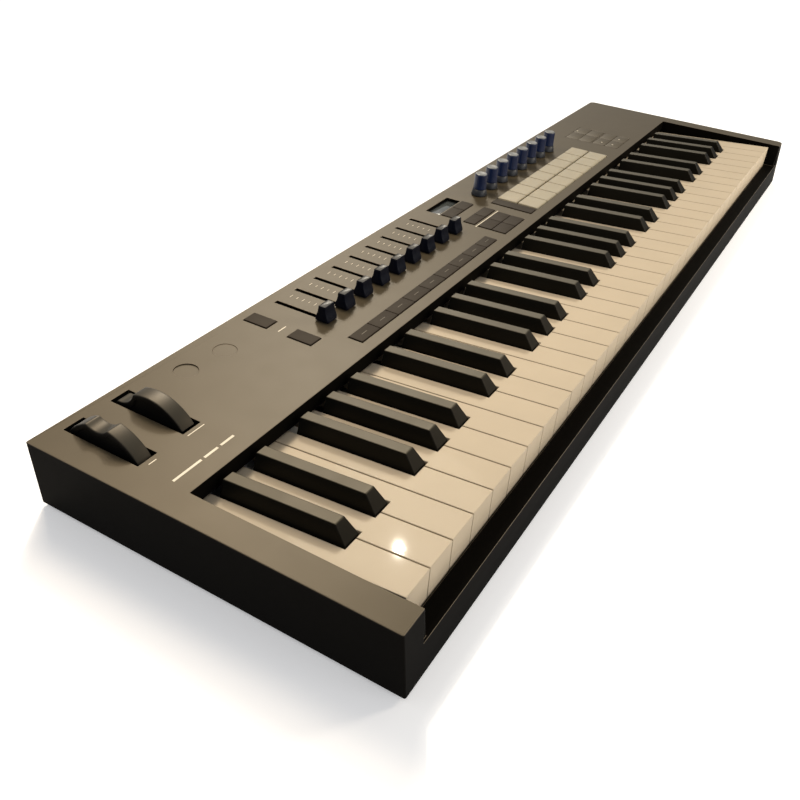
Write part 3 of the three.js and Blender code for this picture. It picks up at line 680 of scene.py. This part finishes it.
def pads():
    for row in ("front", "rear"):
        node_name = f"pad_row_{row}"
        x, y, z = span(node_name)
        pitch = (x[1] - x[0]) / 8
        for index in range(8):
            mesh_bm = bmesh.new()
            ends = (x[0] + pitch * index + 0.3, x[0] + pitch * (index + 1) - 0.3)
            soft_block(mesh_bm, ends, y, (z[0], z[1] - 0.12), corner=1.6, edge=1.0, crown=0.1, steps=4)
            finish_piece(f"pad_{row}_{index + 1}", mesh_bm, "pad", node_name,
                         [node_name] if index == 0 else [])


pads()


def display():
    """Black frame in the recess with a flat glass over the screen."""
    x, y, _ = span("display_module")
    frame["nodes"]["display_module"].data.materials[0] = look["bezel"]
    mesh_bm = bmesh.new()
    soft_block(mesh_bm, (x[0] + 2.3, x[1] - 2.3), (y[0] + 0.95, y[1] - 2.3), (43.5, 44.4),
               corner=0.8, edge=0.3)
    finish_piece("display_window", mesh_bm, "display_glass", "case")


display()


USB_X, JACK_X, SOCKET_Z = -300.0, -258.0, 26.0


def sockets():
    """Dark face plates in the rear wall, with a steel liner in the USB socket and a nut on the round one."""
    for node_name in ("usb_socket", "pedal_jack"):
        frame["nodes"][node_name].data.materials[0] = look["bezel"]
    rear = span("usb_socket")[1][1]
    mesh_bm = bmesh.new()
    rings = []
    for half_x, half_z, y in ((5.95, 5.45, rear - 8), (5.95, 5.45, rear + 0.3),
                              (5.5, 5.0, rear + 0.3), (5.5, 5.0, rear - 8)):
        corners = rounded_rectangle(USB_X, SOCKET_Z, 0, half_x, half_z, 0.5)
        rings.append([(px, y, pz) for px, pz, _ in corners])
    loops = ring_loft(mesh_bm, rings, cap_ends=False)
    for i in range(len(loops[0])):
        j = (i + 1) % len(loops[0])
        mesh_bm.faces.new((loops[3][i], loops[3][j], loops[0][j], loops[0][i]))
    finish_piece("usb_liner", mesh_bm, "steel", "case", sharp_angle=40)

    rear = span("pedal_jack")[1][1]
    sides = 36
    profile = [
        (5.05, rear - 0.25), (6.8, rear - 0.25), (6.8, rear + 0.5), (6.3, rear + 0.8), (5.05, rear + 0.8),
    ]
    mesh_bm = bmesh.new()
    rings = []
    for radius, y in profile:
        angles = [2 * math.pi * i / sides for i in range(sides)]
        rings.append([(JACK_X + radius * math.cos(a), y, SOCKET_Z + radius * math.sin(a)) for a in angles])
    loops = ring_loft(mesh_bm, rings, cap_ends=False)
    for i in range(sides):
        j = (i + 1) % sides
        mesh_bm.faces.new((loops[-1][i], loops[-1][j], loops[0][j], loops[0][i]))
    finish_piece("jack_nut", mesh_bm, "steel", "case", sharp_angle=40)


sockets()


# ---- printed marks ---------------------------------------------------------------------------

def printed_marks():
    marks, ticks = [], []
    for left in fader_x[:-1]:
        for index in range(5):
            length = 3.8 if index % 2 == 0 else 2.6
            middle, y = left + 13.4, 107.0 - 5.3 * index
            ticks.append((middle - length / 2, middle + length / 2, y - 0.2, y + 0.2))
    marks.append((-267.3, -258.7, 83.1, 83.8))
    marks.append((-19.0, 27.0, 56.55, 57.35))
    marks.append((-421.2, -415.4, 52.4, 53.0))
    marks.append((-390.2, -376.4, 52.9, 53.5))
    marks.append((-424.0, -402.0, 32.0, 33.6))
    marks.append((-399.5, -388.5, 32.0, 33.6))
    marks.append((-386.0, -375.0, 32.0, 33.6))
    mesh_bm = bmesh.new()
    bars(mesh_bm, marks, panel_z)
    finish_piece("panel_marks", mesh_bm, "print", "case")
    mesh_bm = bmesh.new()
    bars(mesh_bm, ticks, panel_z)
    finish_piece("fader_ticks", mesh_bm, "faint_print", "case")

    strip_z = span("track_button_strip")[2][1]
    mesh_bm = bmesh.new()
    bars(mesh_bm, [(x - 3.2, x + 3.2, 35.1, 35.6) for x in fader_x], strip_z)
    finish_piece("track_marks", mesh_bm, "dim_print", "track_button_strip")

    for index, (x, y, body) in enumerate(((311.3, 88.5, "transport_buttons_rear"),
                                          (290.1, 50.9, "transport_buttons_front"),
                                          (313.5, 38.3, "transport_buttons_front"),
                                          (289.8, 38.1, "transport_buttons_front"))):
        mesh_bm = bmesh.new()
        z = span(body)[2][1] - 0.6
        lathe(mesh_bm, x, y, [(1.0, z), (0.9, z + 0.15), (0.3, z + 0.25)], sides=16)
        finish_piece(f"indicator_{index + 1}", mesh_bm, "print", body)


printed_marks()


# ---- floor, light and camera -----------------------------------------------------------------

def floor():
    material = surface("floor", (0.86, 0.865, 0.88), 0.95, mottle=0.0, grain=0.0, specular=0.0, glow=0.34)
    mesh = bpy.data.meshes.new("floor")
    reach = 6.0
    mesh.from_pydata([(-reach, -reach, 0), (reach, -reach, 0), (reach, reach, 0), (-reach, reach, 0)], [],
                     [(0, 1, 2, 3)])
    mesh.materials.append(material)
    ground = bpy.data.objects.new("floor", mesh)
    scene.collection.objects.link(ground)


def area_light(name, position, target, size, power, color):
    light = bpy.data.lights.new(name, "AREA")
    light.shape = "RECTANGLE"
    light.size, light.size_y = size
    light.energy = power
    light.color = color
    lamp = bpy.data.objects.new(name, light)
    lamp.location = position
    lamp.rotation_euler = (Vector(target) - Vector(position)).to_track_quat("-Z", "Y").to_euler()
    scene.collection.objects.link(lamp)


def lights():
    world = bpy.data.worlds.new("studio")
    world.use_nodes = True
    nodes, links = world.node_tree.nodes, world.node_tree.links
    background = nodes["Background"]
    background.inputs["Color"].default_value = (1.0, 1.0, 1.0, 1)
    direction = nodes.new("ShaderNodeTexCoord")
    height_of = nodes.new("ShaderNodeSeparateXYZ")
    links.new(direction.outputs["Generated"], height_of.inputs["Vector"])
    rising = nodes.new("ShaderNodeMapRange")
    rising.inputs["From Min"].default_value, rising.inputs["From Max"].default_value = 0.1, 0.8
    rising.inputs["To Min"].default_value, rising.inputs["To Max"].default_value = 0.26, 0.50
    links.new(height_of.outputs["Z"], rising.inputs["Value"])
    links.new(rising.outputs["Result"], background.inputs["Strength"])
    scene.world = world
    area_light("front_fill", (-0.6, -3.0, 0.9), (0, 0, 0), (3.0, 1.2), 38, (1.0, 0.97, 0.93))
    area_light("left_sheen", (-0.15, 0.35, 0.55), (-0.42, 0.02, 0.05), (0.28, 0.22), 3.0, (1.0, 0.84, 0.64))
    area_light("far_fill", (0.55, -0.75, 0.60), (0.40, -0.05, 0.04), (0.3, 0.3), 6.5, (1.0, 0.88, 0.70))
    for name, energy, degrees in (("key_light", 0.7, 0.6), ("soft_key_light", 1.3, 14.0)):
        sun = bpy.data.lights.new(name, "SUN")
        sun.energy = energy
        sun.angle = math.radians(degrees)
        sun.color = (1.0, 0.92, 0.78)
        lamp = bpy.data.objects.new(name, sun)
        lamp.rotation_euler = Vector((0.637, 0.428, 0.641)).to_track_quat("Z", "Y").to_euler()
        scene.collection.objects.link(lamp)


def camera():
    """The viewpoint: near the low keys, looking along the keyboard and 34 degrees down."""
    yaw, pitch, roll = math.radians(61.842), math.radians(34.477), math.radians(4.48)
    forward = Vector((math.sin(yaw) * math.cos(pitch), math.cos(yaw) * math.cos(pitch), -math.sin(pitch)))
    right = Vector((math.cos(yaw), -math.sin(yaw), 0))
    up = right.cross(forward)
    side = math.cos(roll) * right + math.sin(roll) * up
    top = -math.sin(roll) * right + math.cos(roll) * up
    data = bpy.data.cameras.new("camera")
    data.sensor_width = 36
    data.lens = 38.8
    data.clip_start = 0.01
    eye = bpy.data.objects.new("camera", data)
    eye.matrix_world = Matrix((
        (side.x, top.x, -forward.x, -0.67277),
        (side.y, top.y, -forward.y, -0.23138),
        (side.z, top.z, -forward.z, 0.34660),
        (0, 0, 0, 1),
    ))
    scene.collection.objects.link(eye)
    scene.camera = eye


floor()
lights()
camera()
scene.view_settings.view_transform = "Standard"
